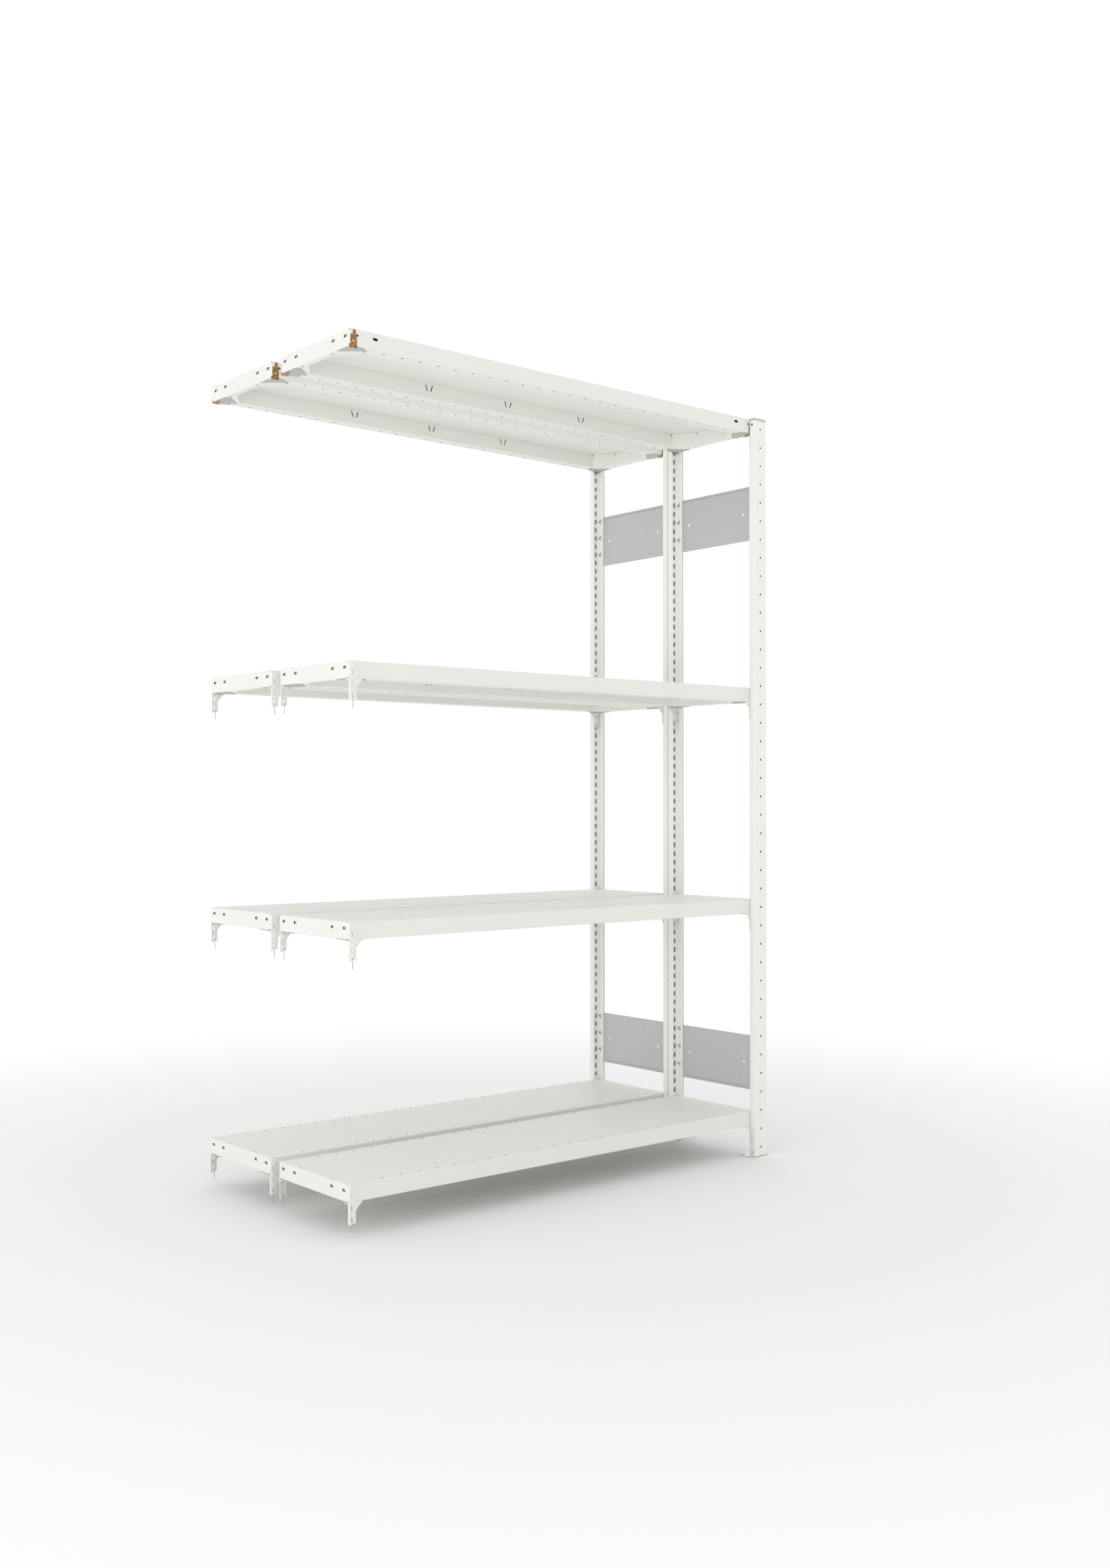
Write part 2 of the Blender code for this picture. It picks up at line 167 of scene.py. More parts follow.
CLIP_WINDOW = (
    (0.0030, 0.0062),
    (-0.0030, 0.0062),
    (-0.0048, -0.0015),
    (-0.0030, -0.0062),
    (0.0030, -0.0062),
    (0.0048, -0.0015),
)
CLIP_HOOKS = (0.0217,)

# A hook seen from its edge, outwards from the plate and up
HOOK_SHEET = 0.002
HOOK_FILLET = 0.0009
HOOK_PROFILE = (
    (-0.0008, 0.0025),
    (-0.0060, 0.0025),
    (-0.0060, -0.0070),
    (-0.0042, -0.0070),
    (-0.0040, -0.0025),
    (-0.0008, -0.0025),
)

# The middle of a pin's wire, from the middle of the slit that it starts in
PIN_RADIUS = 0.0009
PIN_PATH = (
    (0.0016, 0.0000, -0.0014),
    (0.0016, 0.0006, -0.0022),
    (0.0016, 0.0012, -0.0030),
    (0.0018, 0.0018, -0.0060),
    (0.0024, 0.0018, -0.0110),
    (0.0024, 0.0018, -0.0275),
)

# The strip inside a shelf's end
STRIP_SHEET = 0.0010
STRIP_BEND = 0.0012
STRIP_BEHIND = 0.0036
STRIP_FOOT = 0.0070
STRIP_ROOM = 0.0032
STRIP_INSET = 0.0060

# Seen from above, from the shelf's end and inwards from its long edge. The ledges and the plates under a
# shelf's corners come in two hands: "right" where the end lies to the right of the edge, seen from outside.
CLIP_LEDGES = {
    "left": ((0.0025, -0.0010), (0.0210, -0.0010), (0.0200, 0.0025), (0.0025, 0.0060)),
    "right": ((0.0025, -0.0010), (0.0210, -0.0010), (0.0200, 0.0025), (0.0060, 0.0300), (0.0025, 0.0300)),
}
BRACKET_LEDGE = ((0.0004, -0.0010), (0.0200, -0.0010), (0.0200, 0.0150), (0.0004, 0.0150))
LEDGE_FILLET = 0.0015
LEDGE_DROP = 0.0018
CORNER_PLATE_SHEET = 0.0010
CORNER_PLATE_DROP = 0.0008
CORNER_PLATE_FILLET = 0.0014
CORNER_PLATES = {
    "left": (
        (0.0025, 0.0010),
        (0.0340, 0.0010),
        (0.0460, 0.0080),
        (0.0470, 0.0130),
        (0.0520, 0.0120),
        (0.0560, 0.0160),
        (0.0555, 0.0270),
        (0.0525, 0.0280),
        (0.0470, 0.0180),
        (0.0080, 0.0515),
        (0.0025, 0.0570),
    ),
    "right": (
        (0.0025, 0.0010),
        (0.0340, 0.0010),
        (0.0460, 0.0080),
        (0.0427, 0.0290),
        (0.0548, 0.0203),
        (0.0520, 0.0324),
        (0.0137, 0.0700),
        (0.0025, 0.0580),
    ),
}


# ---------------------------------------------------------------- mesh helpers


def mesh_from(bm, name):
    """The mesh in bm, which is freed."""
    mesh = bpy.data.meshes.new(name)
    bm.to_mesh(mesh)
    bm.free()
    return mesh


def filleted(points, radius, segments, closed):
    """The 2-D points with each corner rounded. A corner too tight for the radius takes a smaller one."""
    count = len(points)
    rounded = []
    for index, point in enumerate(points):
        here = Vector(point)
        if not closed and index in (0, count - 1):
            rounded.append(here)
            continue
        before = Vector(points[index - 1]) - here
        after = Vector(points[(index + 1) % count]) - here
        half_turn = before.angle(after) / 2
        reach = min(radius / math.tan(half_turn), 0.45 * before.length, 0.45 * after.length)
        start = here + before.normalized() * reach
        end = here + after.normalized() * reach
        for step in range(segments + 1):
            t = step / segments
            rounded.append((1 - t) ** 2 * start + 2 * t * (1 - t) * here + t**2 * end)
    return rounded


def strip(points, thickness):
    """The closed outline of a sheet of this thickness whose middle runs along open 2-D points."""
    left, right = [], []
    for index, here in enumerate(points):
        ahead = points[min(index + 1, len(points) - 1)] - here
        behind = here - points[max(index - 1, 0)]
        ahead = ahead.normalized() if ahead.length else behind.normalized()
        behind = behind.normalized() if behind.length else ahead
        along = (ahead + behind).normalized()
        across = Vector((-along.y, along.x)) * (thickness / 2) / max(along.dot(ahead), 0.3)
        left.append(here + across)
        right.append(here - across)
    return left + right[::-1]


def capsule(width, height, segments=5):
    """An upright slot with round ends, as a 2-D outline."""
    radius = min(width, height) / 2
    span = (max(width, height) - 2 * radius) / 2
    outline = []
    for end in (0, 1):
        for step in range(segments + 1):
            angle = math.pi * (end + step / segments)
            along = math.sin(angle) * radius + (span if end == 0 else -span)
            outline.append(Vector((math.cos(angle) * radius, along)))
    if width > height:
        outline = [Vector((-point.y, point.x)) for point in outline]
    return outline


def circle(radius, segments=14):
    turns = [2 * math.pi * step / segments for step in range(segments)]
    return [Vector((math.cos(turn) * radius, math.sin(turn) * radius)) for turn in turns]


def add_prism(bm, outline, place, depth):
    """Put a closed prism in bm: the outline lies in place's XY plane, and its depth runs along place's Z."""
    ends = []
    for z in (-depth / 2, depth / 2):
        ends.append([bm.verts.new(place @ Vector((point[0], point[1], z))) for point in outline])
    low, high = ends
    bm.faces.new(low[::-1])
    bm.faces.new(high)
    for index in range(len(outline)):
        following = (index + 1) % len(outline)
        bm.faces.new((low[index], low[following], high[following], high[index]))


def prisms(outline, places, depth):
    """One mesh of the same prism at many places, to cut or add them all at once."""
    bm = bmesh.new()
    for place in places:
        add_prism(bm, outline, place, depth)
    bmesh.ops.recalc_face_normals(bm, faces=bm.faces)
    return mesh_from(bm, "prisms")


def facing(axis, at, spin=0.0):
    """A place whose Z looks along an axis, with its Y up, or north where it looks up, turned by spin."""
    if axis == "X":
        turn = Matrix(((0, 0, 1), (1, 0, 0), (0, 1, 0))).to_4x4()
    elif axis == "Y":
        turn = Matrix(((1, 0, 0), (0, 0, -1), (0, 1, 0))).to_4x4()
    else:
        turn = Matrix.Identity(4)
    return Matrix.Translation(at) @ turn @ Matrix.Rotation(math.radians(spin), 4, "Z")


def applied(mesh, *modifiers):
    """The mesh after modifiers, each given as (type, settings), with duplicate points welded."""
    obj = bpy.data.objects.new("working", mesh)
    bpy.context.scene.collection.objects.link(obj)
    helpers = []
    for kind, settings in modifiers:
        modifier = obj.modifiers.new(kind.lower(), kind)
        for key, value in settings.items():
            if key == "cutter":
                value = bpy.data.objects.new("cutter", value)
                bpy.context.scene.collection.objects.link(value)
                helpers.append(value)
                key = "object"
            setattr(modifier, key, value)
    bpy.context.view_layer.update()
    graph = bpy.context.evaluated_depsgraph_get()
    made = bpy.data.meshes.new_from_object(obj.evaluated_get(graph))
    for item in [obj, *helpers]:
        bpy.data.objects.remove(item, do_unlink=True)
    bm = bmesh.new()
    bm.from_mesh(made)
    bmesh.ops.remove_doubles(bm, verts=bm.verts, dist=2e-6)
    bmesh.ops.dissolve_degenerate(bm, edges=bm.edges, dist=2e-6)
    bmesh.ops.recalc_face_normals(bm, faces=bm.faces)
    bm.to_mesh(made)
    bm.free()
    return made


def boolean(mesh, operation, *others):
    """The mesh after the same boolean with each of the others in turn."""
    settings = {"operation": operation, "solver": "EXACT"}
    return applied(mesh, *[("BOOLEAN", {**settings, "cutter": other}) for other in others])


def solidified(mesh, thickness):
    """A sheet grown from the modelled outer surface inwards."""
    settings = {"thickness": thickness, "offset": -1.0, "use_even_offset": True}
    return applied(mesh, ("SOLIDIFY", settings))


def softened(mesh, width, angle=40.0):
    """The mesh with its sharp edges broken by a small bevel, for pieces with few holes."""
    settings = {
        "width": width,
        "segments": 2,
        "limit_method": "ANGLE",
        "angle_limit": math.radians(angle),
        "use_clamp_overlap": True,
    }
    return applied(mesh, ("BEVEL", settings))


def piece(name, mesh, material, place, body, slot, *nodes):
    """A shown piece of the object that rides on a body and stands for CAD nodes."""
    obj = bpy.data.objects.new(name, mesh)
    obj.matrix_world = place
    bpy.context.scene.collection.objects.link(obj)
    if not mesh.materials:
        mesh.materials.append(material)
        mesh.polygons.foreach_set("use_smooth", [True] * len(mesh.polygons))
        mesh.set_sharp_from_angle(angle=math.radians(35))
    weighted = obj.modifiers.new("weighted", "WEIGHTED_NORMAL")
    weighted.keep_sharp = True
    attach(obj, body)
    if nodes:
        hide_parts(*nodes)
    return obj


# ---------------------------------------------------------------- materials


class Shader:
    """A material's node tree, with short names for the nodes that these finishes use."""

    def __init__(self, name, colour, roughness, metallic):
        self.material = bpy.data.materials.new(name)
        self.material.use_nodes = True
        self.nodes = self.material.node_tree.nodes
        self.links = self.material.node_tree.links
        self.shader = self.nodes["Principled BSDF"]
        self.shader.inputs["Base Color"].default_value = (*colour, 1.0)
        self.shader.inputs["Roughness"].default_value = roughness
        self.shader.inputs["Metallic"].default_value = metallic
        self.position = self.nodes.new("ShaderNodeTexCoord").outputs["Object"]

    def stretched(self, scale):
        """The position stretched by a factor along each axis."""
        mapping = self.nodes.new("ShaderNodeMapping")
        mapping.inputs["Scale"].default_value = scale
        self.links.new(self.position, mapping.inputs["Vector"])
        return mapping.outputs["Vector"]

    def noise(self, scale, detail=2.0, source=None):
        node = self.nodes.new("ShaderNodeTexNoise")
        node.inputs["Scale"].default_value = scale
        node.inputs["Detail"].default_value = detail
        self.links.new(source or self.position, node.inputs["Vector"])
        return node.outputs["Fac"]

    def cells(self, scale, source=None):
        """A value that is different in each cell of a Voronoi pattern."""
        node = self.nodes.new("ShaderNodeTexVoronoi")
        node.inputs["Scale"].default_value = scale
        self.links.new(source or self.position, node.inputs["Vector"])
        separate = self.nodes.new("ShaderNodeSeparateColor")
        self.links.new(node.outputs["Color"], separate.inputs["Color"])
        return separate.outputs["Red"]

    def ramp(self, value, stops):
        """Colours at stops along a value."""
        node = self.nodes.new("ShaderNodeValToRGB")
        ramp = node.color_ramp
        while len(ramp.elements) < len(stops):
            ramp.elements.new(0.5)
        for element, (at, colour) in zip(ramp.elements, stops):
            element.position = at
            element.color = (*colour, 1.0)
        self.links.new(value, node.inputs["Fac"])
        return node.outputs["Color"]

    def range(self, value, low, high):
        node = self.nodes.new("ShaderNodeMapRange")
        node.inputs["To Min"].default_value = low
        node.inputs["To Max"].default_value = high
        self.links.new(value, node.inputs["Value"])
        return node.outputs["Result"]

    def colour(self, output):
        self.links.new(output, self.shader.inputs["Base Color"])

    def roughness(self, output):
        self.links.new(output, self.shader.inputs["Roughness"])

    def bump(self, height, distance, strength, under=None):
        node = self.nodes.new("ShaderNodeBump")
        node.inputs["Strength"].default_value = strength
        node.inputs["Distance"].default_value = distance
        self.links.new(height, node.inputs["Height"])
        if under:
            self.links.new(under, node.inputs["Normal"])
        self.links.new(node.outputs["Normal"], self.shader.inputs["Normal"])
        return node.outputs["Normal"]


def shade(colour, factor):
    """The colour lightened or darkened by a factor."""
    return tuple(min(1.0, channel * factor) for channel in colour)


def powder_coat(name, white):
    """Satin powder coat with orange peel and faint mottling."""
    made = Shader(name, white, 0.42, 0.0)
    made.shader.inputs["Specular IOR Level"].default_value = 0.45
    mottle = made.noise(9.0, 3.0)
    made.colour(made.ramp(mottle, ((0.3, shade(white, 0.985)), (0.7, shade(white, 1.012)))))
    made.roughness(made.range(made.noise(40.0, 2.0), 0.37, 0.47))
    peel = made.bump(made.noise(420.0, 1.5), 0.00004, 0.35)
    made.bump(made.noise(2600.0, 1.0), 0.00001, 0.25, under=peel)
    return made.material


def galvanised():
    """Zinc-coated steel: fine spangle, with rolling streaks along the sheet."""
    grey = (0.56, 0.56, 0.56)
    made = Shader("galvanised_sheet", grey, 0.5, 0.55)
    spangle = made.cells(190.0)
    made.colour(made.ramp(spangle, ((0.0, shade(grey, 0.98)), (1.0, shade(grey, 1.02)))))
    streaks = made.noise(60.0, 3.0, made.stretched((1.0, 1.0, 22.0)))
    made.roughness(made.range(streaks, 0.42, 0.6))
    made.bump(streaks, 0.00002, 0.2)
    return made.material


def corner_zinc():
    """The duller zinc of the corner plates."""
    grey = (0.47, 0.475, 0.455)
    made = Shader("corner_zinc", grey, 0.5, 0.25)
    made.colour(made.ramp(made.cells(260.0), ((0.0, shade(grey, 0.95)), (1.0, shade(grey, 1.05)))))
    made.roughness(made.range(made.noise(80.0, 3.0), 0.42, 0.6))
    made.bump(made.noise(500.0, 2.0), 0.00002, 0.2)
    return made.material


def yellow_zinc():
    """Yellow passivated zinc, satin, in golden and brown patches."""
    made = Shader("yellow_zinc", (0.40, 0.20, 0.045), 0.45, 0.35)
    patches = made.noise(150.0, 4.0)
    stops = ((0.32, (0.19, 0.085, 0.017)), (0.50, (0.40, 0.195, 0.042)), (0.68, (0.52, 0.28, 0.075)))
    made.colour(made.ramp(patches, stops))
    made.roughness(made.range(made.noise(420.0, 2.0), 0.28, 0.5))
    made.bump(made.noise(900.0, 2.0), 0.00002, 0.3)
    return made.material


def bright_zinc():
    """Clear passivated zinc with brushing and small dull patches."""
    grey = (0.74, 0.74, 0.76)
    made = Shader("bright_zinc", grey, 0.28, 1.0)
    made.colour(made.ramp(made.noise(70.0, 4.0), ((0.3, shade(grey, 0.86)), (0.7, shade(grey, 1.06)))))
    brushing = made.noise(300.0, 2.0, made.stretched((1.0, 14.0, 1.0)))
    made.roughness(made.range(brushing, 0.2, 0.42))
    made.bump(brushing, 0.00001, 0.2)
    return made.material


def grey_plastic():
    """Moulded light grey plastic with a fine spark texture."""
    grey = (0.56, 0.56, 0.57)
    made = Shader("grey_plastic", grey, 0.5, 0.0)
    made.colour(made.ramp(made.noise(60.0, 2.0), ((0.3, shade(grey, 0.96)), (0.7, shade(grey, 1.03)))))
    made.roughness(made.range(made.noise(700.0, 1.0), 0.42, 0.6))
    made.bump(made.noise(1500.0, 2.0), 0.00003, 0.3)
    return made.material


def spring_wire():
    """Drawn steel wire with a fine lengthwise grain."""
    grey = (0.52, 0.52, 0.51)
    made = Shader("spring_wire", grey, 0.35, 0.6)
    grain = made.noise(900.0, 2.0, made.stretched((1.0, 1.0, 0.06)))
    made.colour(made.ramp(grain, ((0.3, shade(grey, 0.8)), (0.7, shade(grey, 1.15)))))
    made.roughness(made.range(grain, 0.25, 0.45))
    made.bump(grain, 0.00001, 0.3)
    return made.material


# ---------------------------------------------------------------- meshes of the pieces


def post_mesh(low, high):
    """A post about its own centre line, its face at Y = 0 and its neck towards +Y."""
    width, depth = high.x - low.x, high.y - low.y
    side = (width - POST_SHEET) / 2
    neck = (POST_NECK_WIDTH - POST_SHEET) / 2
    front, back = POST_SHEET / 2, POST_FLANGE_DEPTH - POST_SHEET / 2
    end = depth - POST_SHEET / 2
    left = [(-NECK_LIP_GAP / 2, end), (-neck, end), (-neck, back), (-side, back), (-side, front)]
    path = left + [(-x, y) for x, y in reversed(left)]
    outline = strip(filleted(path, POST_BEND, 5, closed=False), POST_SHEET)
    middle = Matrix.Translation((0, 0, (low.z + high.z) / 2))
    column = width / 2 - SLOT_INSET
    slots = [
        facing("Y", (x, back, SLOT_FIRST + index * SLOT_PITCH))
        for index in range(SLOT_COUNT)
        for x in (-column, column)
    ]
    holes = [
        facing("Y", (0, front, FACE_HOLE_FIRST + index * FACE_HOLE_PITCH))
        for index in range(FACE_HOLE_COUNT)
    ]
    sides = [facing("X", (x, POST_FLANGE_DEPTH / 2, z)) for x in (-side, side) for z in SIDE_HOLE_HEIGHTS]
    notches = [facing("X", (0, NOTCH_DEPTH, z)) for z in NOTCH_HEIGHTS]
    stems = [facing("X", (0, NOTCH_DEPTH - NOTCH_STEM_SHIFT, z)) for z in NOTCH_HEIGHTS]
    return boolean(
        prisms(outline, [middle], high.z - low.z),
        "DIFFERENCE",
        prisms(capsule(*SLOT_SIZE), slots, 4 * POST_SHEET),
        prisms(circle(FACE_HOLE_RADIUS), holes, 4 * POST_SHEET),
        prisms(circle(SIDE_HOLE_RADIUS), sides, 4 * POST_SHEET),
        prisms(capsule(*NOTCH_SIZE), notches, 2 * POST_NECK_WIDTH),
        prisms(capsule(*NOTCH_STEM), stems, 2 * POST_NECK_WIDTH),
    )


def cap_mesh(low, high):
    """The moulded cap, with rounded corners and a soft upper edge."""
    width, depth = high.x - low.x, high.y - low.y
    side, neck = width / 2, POST_NECK_WIDTH / 2
    right = [(side, 0.0), (side, POST_FLANGE_DEPTH), (neck, POST_FLANGE_DEPTH), (neck, depth)]
    outline = right + [(-x, y) for x, y in reversed(right)]
    rounded = filleted(outline, CAP_CORNER, 4, closed=True)
    thickness = high.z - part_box("front_aisle_post")[1].z - CAP_GAP
    middle = Matrix.Translation((0, 0, high.z - thickness / 2))
    return softened(prisms(rounded, [middle], thickness), CAP_EDGE)


def foot_plate_mesh(low, high):
    """The foot plate, about the post's centre line and face, with its two fixing holes."""
    half = (high.x - low.x) / 2
    near, far = FOOT_FROM_FACE, FOOT_FROM_FACE + high.y - low.y
    outline = [(-half, near), (half, near), (half, far), (-half, far)]
    middle = Matrix.Translation((0, 0, (low.z + high.z) / 2))
    plate = prisms(filleted(outline, FOOT_CORNER, 4, closed=True), [middle], high.z - low.z)
    across, back = half - FOOT_HOLE_INSET[0], far - FOOT_HOLE_INSET[1]
    centres = [Matrix.Translation((side * across, back, 0)) for side in (-1, 1)]
    holes = prisms(circle(FOOT_HOLE_RADIUS, 24), centres, HOLE_CUT)
    return softened(boolean(plate, "DIFFERENCE", holes), FOOT_EDGE)


def panel_mesh(low, high, hem_up):
    """A bracing panel about its own centre, with a folded hem along one long edge."""
    half_height = (high.z - low.z) / 2
    sign = 1 if hem_up else -1
    fold = sign * (half_height - PANEL_SHEET / 2)
    path = [(0.0, -sign * half_height), (0.0, fold)]
    path += [(-2 * PANEL_BEND, fold), (-2 * PANEL_BEND, sign * (half_height - PANEL_HEM))]
    outline = strip(filleted(path, PANEL_BEND, 4, closed=False), PANEL_SHEET)
    centres = [facing("X", (0, side * PANEL_HOLE_OFFSET, 0)) for side in (-1, 1)]
    return boolean(
        prisms(outline, [facing("Y", (0, 0, 0))], high.y - low.y),
        "DIFFERENCE",
        prisms(circle(PANEL_HOLE_RADIUS, 20), centres, HOLE_CUT),
    )


def tray_surface(half_x, half_y, height):
    """The outer surface of a folded shelf: down, inwards, and up round its mouth, with every bend rounded."""
    bm = bmesh.new()
    corners = ((1, 1), (-1, 1), (-1, -1), (1, -1))
    top = [bm.verts.new((sx * half_x, sy * half_y, 0.0)) for sx, sy in corners]
    foot = [bm.verts.new((sx * half_x, sy * half_y, -height)) for sx, sy in corners]
    mouth = []
    for sx, sy in corners:
        at_long_edge = (sx * (half_x - TRAY_CORNER[0]), sy * (half_y - TRAY_LIP[1]), -height)
        at_end = (sx * (half_x - TRAY_LIP[0]), sy * (half_y - TRAY_CORNER[1]), -height)
        pair = (at_end, at_long_edge) if sx == sy else (at_long_edge, at_end)
        mouth.append([bm.verts.new(point) for point in pair])
    bm.faces.new(top)
    for index, (first, last) in enumerate(mouth):
        following = (index + 1) % 4
        bm.faces.new((top[index], foot[index], foot[following], top[following]))
        bm.faces.new((foot[index], last, mouth[following][0], foot[following]))
        bm.faces.new((foot[index], first, last))
    rim = [vert for pair in mouth for vert in pair]
    rise = height - TRAY_SHEET - TRAY_RETURN_GAP
    risen = [bm.verts.new(vert.co + Vector((0.0, 0.0, rise))) for vert in rim]
    for index in range(8):
        following = (index + 1) % 8
        bm.faces.new((rim[index], risen[index], risen[following], rim[following]))
    bm.normal_update()
    folds = [e for e in bm.edges if len(e.link_faces) == 2 and e.calc_face_angle() > 0.3]
    bmesh.ops.bevel(bm, geom=folds, offset=TRAY_BEND, segments=3, profile=0.5, affect="EDGES")
    return mesh_from(bm, "tray")


def tray_mesh(low, high, side_slots):
    """A shelf about the middle of its top, with its rows of holes, slots and reinforcing slits."""
    half_x, half_y = (high.x - low.x) / 2, (high.y - low.y) / 2
    height = high.z - low.z
    body = solidified(tray_surface(half_x, half_y, height), TRAY_SHEET)
    steps = [index * ROW_PITCH for index in range(-ROW_HALF_COUNT, ROW_HALF_COUNT + 1)]
    upper = [(x, side * (half_y - ROW_INSET_TOP), 0.0) for x in steps for side in (-1, 1)]
    lower = [(x, side * (half_y - ROW_INSET_LIP), -height) for x in steps for side in (-1, 1)]
    ends = [
        (sx * (half_x - END_HOLE_INSET), sy * END_HOLE_OFFSET, 0.0) for sx in (-1, 1) for sy in (-1, 1)
    ]
    lower_ends = [(x, y, -height) for x, y, _ in ends]
    rows = [Matrix.Translation(at) for at in upper + lower + ends + lower_ends]
    slots = [
        facing("X", (sx * half_x, sy * (half_y - inset), -EDGE_SLOT_DEPTH))
        for sx in (-1, 1)
        for sy in (-1, 1)
        for inset in END_SLOT_INSETS
    ]
    vees = []
    for middle in (-VEE_SPACING, 0.0, VEE_SPACING):
        for side in (-1, 1):
            for leaning in (-1, 1):
                at = (middle + leaning * VEE_OFFSET, side * (half_y - TRAY_LIP[1]), -VEE_DEPTH)
                vees.append(facing("Y", at, -leaning * VEE_TILT))
    upper_reliefs, lower_reliefs, creases = [], [], []
    for sx in (-1, 1):
        for sy in (-1, 1):
            inset, depth = RELIEF_INSET
            upper_reliefs.append(facing("X", (sx * half_x, sy * (half_y - inset), -depth)))
            inset = FOOT_RELIEF_INSET
            lower_reliefs.append(Matrix.Translation((sx * (half_x - inset), sy * (half_y - inset), -height)))
            for x, y in ((TRAY_CORNER[0], TRAY_LIP[1]), (TRAY_LIP[0], TRAY_CORNER[1])):
                at = (sx * (half_x - x), sy * (half_y - y), -CREASE_HOLE_DEPTH)
                creases.append(Matrix.Translation(at))
    cuts = [
        prisms(capsule(*ROW_HOLE, 4), rows, 4 * TRAY_SHEET),
        prisms(capsule(*EDGE_SLOT), slots, 4 * TRAY_SHEET),
        prisms(capsule(*VEE_SIZE, 3), vees, 4 * TRAY_SHEET),
        prisms(circle(RELIEF_RADIUS, 12), upper_reliefs, 4 * TRAY_SHEET),
        prisms(circle(FOOT_RELIEF_RADIUS, 12), lower_reliefs, FOOT_RELIEF_HEIGHT),
        prisms(circle(CREASE_HOLE_RADIUS, 10), creases, CREASE_HOLE_HEIGHT),
    ]
    if side_slots:
        openings = ((SIDE_SLOT_INSET, capsule(*EDGE_SLOT)), (EDGE_HOLE_INSET, circle(EDGE_HOLE_RADIUS)))
        for inset, outline in openings:
            places = [
                facing("Y", (sx * (half_x - inset), sy * half_y, -EDGE_SLOT_DEPTH))
                for sx in (-1, 1)
                for sy in (-1, 1)
            ]
            cuts.append(prisms(outline, places, 4 * TRAY_SHEET))
    return boolean(body, "DIFFERENCE", *cuts)


def hooks_mesh(depths, along):
    """Blades that leave a bracket's outer face and turn down, one at each depth."""
    rounded = filleted(HOOK_PROFILE, HOOK_FILLET, 2, closed=True)
    return prisms(rounded, [facing("X", (along, 0, -depth)) for depth in depths], HOOK_SHEET)


def ledge_mesh(outline, tray_height):
    """The flat part of a bracket or clip that reaches under a shelf."""
    place = Matrix.Translation((0, 0, -tray_height - LEDGE_DROP - BRACKET_SHEET / 2))
    return prisms(filleted(outline, LEDGE_FILLET, 3, closed=True), [place], BRACKET_SHEET)


def corner_surface(outline, flange):
    """The outer surface of a bracket: its plate at -Y and a flange folded round its end."""
    bm = bmesh.new()
    flat = [bm.verts.new((x, -BRACKET_SHEET, -depth)) for x, depth in outline]
    plate = bm.faces.new(flat[::-1])
    top, bottom = flat[0], flat[-1]
    inner_top = bm.verts.new((top.co.x, flange, top.co.z))
    inner_bottom = bm.verts.new((top.co.x, flange, bottom.co.z + BRACKET_FLANGE_RISE))
    bm.faces.new((bottom, top, inner_top, inner_bottom))
    bm.normal_update()
    if plate.normal.y > 0:
        bmesh.ops.reverse_faces(bm, faces=bm.faces)
    folds = [e for e in bm.edges if len(e.link_faces) == 2]
    bmesh.ops.bevel(bm, geom=folds, offset=BRACKET_BEND, segments=4, profile=0.5, affect="EDGES")
    return mesh_from(bm, "corner")


def bracket_mesh(tray_height, hook_along):
    """A bracket at a shelf's -X end and front side, with its gusset, flange, slits and hooks."""
    outline = filleted(BRACKET_OUTLINE, BRACKET_FILLET, 3, closed=False)
    body = solidified(corner_surface(outline, BRACKET_FLANGE), BRACKET_SHEET)
    slits = [
        facing("Y", (hook_along, -BRACKET_SHEET / 2, -depth - SLIT_DROP), SLIT_TILT)
        for depth in BRACKET_HOOKS
    ]
    body = boolean(body, "DIFFERENCE", prisms(capsule(*SLIT_SIZE, 3), slits, CORNER_CUT))
    ledge = ledge_mesh(BRACKET_LEDGE, tray_height)
    return boolean(body, "UNION", hooks_mesh(BRACKET_HOOKS, hook_along), ledge)


def clip_mesh(hand, tray_height, hook_along):
    """A clip at a shelf's -X end and front side: a plate with a stem and a window, and a ledge below."""
    outline = [(x, -depth) for x, depth in CLIP_OUTLINE]
    rounded = filleted(outline, CLIP_FILLET, 3, closed=True)
    plate = prisms(rounded, [facing("Y", (0, -BRACKET_SHEET / 2, 0))], BRACKET_SHEET)
    window = filleted(CLIP_WINDOW, CLIP_WINDOW_FILLET, 3, closed=True)
    along, depth = CLIP_WINDOW_AT
    plate = boolean(plate, "DIFFERENCE", prisms(window, [facing("Y", (along, 0, -depth))], CORNER_CUT))
    ledge = ledge_mesh(CLIP_LEDGES[hand], tray_height)
    return softened(boolean(plate, "UNION", hooks_mesh(CLIP_HOOKS, hook_along), ledge), SMALL_EDGE)


def end_strip_mesh(half_y, tray_height):
    """The folded strip that stands inside a shelf's end, behind its slots, about the end's middle."""
    top, foot = -STRIP_ROOM, -tray_height + STRIP_ROOM
    path = [(STRIP_FOOT, foot), (0.0, foot), (0.0, top), (STRIP_FOOT, top)]
    outline = strip(filleted(path, STRIP_BEND, 3, closed=False), STRIP_SHEET)
    return prisms(outline, [facing("Y", (STRIP_BEHIND, 0, 0))], 2 * (half_y - STRIP_INSET))


def corner_plate_mesh(hand, tray_height):
    """The flat plate that lies under a shelf's corner and ends in a hook."""
    outline = filleted(CORNER_PLATES[hand], CORNER_PLATE_FILLET, 3, closed=True)
    place = Matrix.Translation((0, 0, -tray_height - CORNER_PLATE_DROP))
    return softened(prisms(outline, [place], CORNER_PLATE_SHEET), SMALL_EDGE)


